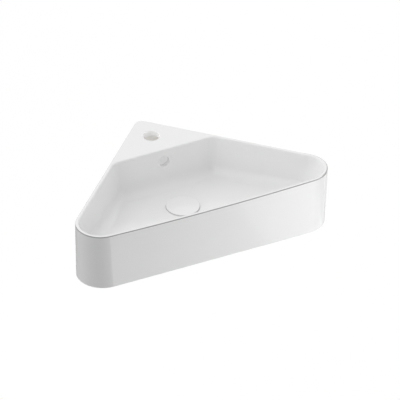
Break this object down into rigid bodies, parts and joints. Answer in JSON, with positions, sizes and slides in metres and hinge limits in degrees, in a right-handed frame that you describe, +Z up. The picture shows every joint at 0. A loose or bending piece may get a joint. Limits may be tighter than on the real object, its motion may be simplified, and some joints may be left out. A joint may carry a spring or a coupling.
{
  "type": "corner basin",
  "caption": "Wall-hung triangular corner wash basin in glazed ceramic, with a tap deck at the room corner, an overflow and a press-to-open waste under a ceramic cover.",
  "frame": {"origin": "where the two room walls meet, at the height of the basin's rim, in the symmetry plane", "axes": "+Z up; the apron faces -Y and the room's corner is towards +Y; the walls run from the origin along (-1,-1) and (+1,-1); +X to the right as seen from the front"},
  "size_m": [0.5824, 0.3645, 0.1672],
  "materials": {
    "glaze": "white gloss glaze, matt unglazed underneath",
    "cover_glaze": "white gloss glaze",
    "plated_brass": "chrome-plated brass",
    "bare_brass": "turned brass",
    "seal_rubber": "matt black moulded rubber",
    "foam_gasket": "dark grey soft rubber",
    "white_nylon": "natural white moulded nylon",
    "cam_plastic": "acetal, as moulded",
    "spring_steel": "drawn stainless wire"
  },
  "bodies": {
    "basin": {"basin_body": "glaze", "waste_body": "plated_brass", "flange_gasket": "foam_gasket", "taper_gasket": "seal_rubber", "slip_washer": "white_nylon", "back_nut": "bare_brass", "cartridge_sleeve": "bare_brass", "sleeve_washer": "seal_rubber", "rod_wiper": "seal_rubber", "guide_crown": "cam_plastic", "return_spring": "spring_steel", "end_cap": "cam_plastic"},
    "cover": {"cover_cap": "cover_glaze", "cover_carrier": "bare_brass", "plug_seal": "seal_rubber", "lock_nut": "bare_brass", "plunger_rod": "bare_brass"},
    "rotor": {"index_rotor": "cam_plastic"}
  },
  "joints": [
    {"name": "cover_lift", "type": "slide", "parent": "basin", "child": "cover", "axis": [0, 0, 1], "range_m": [0, 0.009], "deforming": ["return_spring"]},
    {"name": "rotor_turn", "type": "hinge", "parent": "cover", "child": "rotor", "pos_m": [0, -0.223, -0.1243], "axis": [0, 0, 1], "range_deg": [0, 45]}
  ],
  "couplings": [
    {"joint": "rotor_turn", "follows": "cover_lift", "rad_per_m": 87.26}
  ]
}
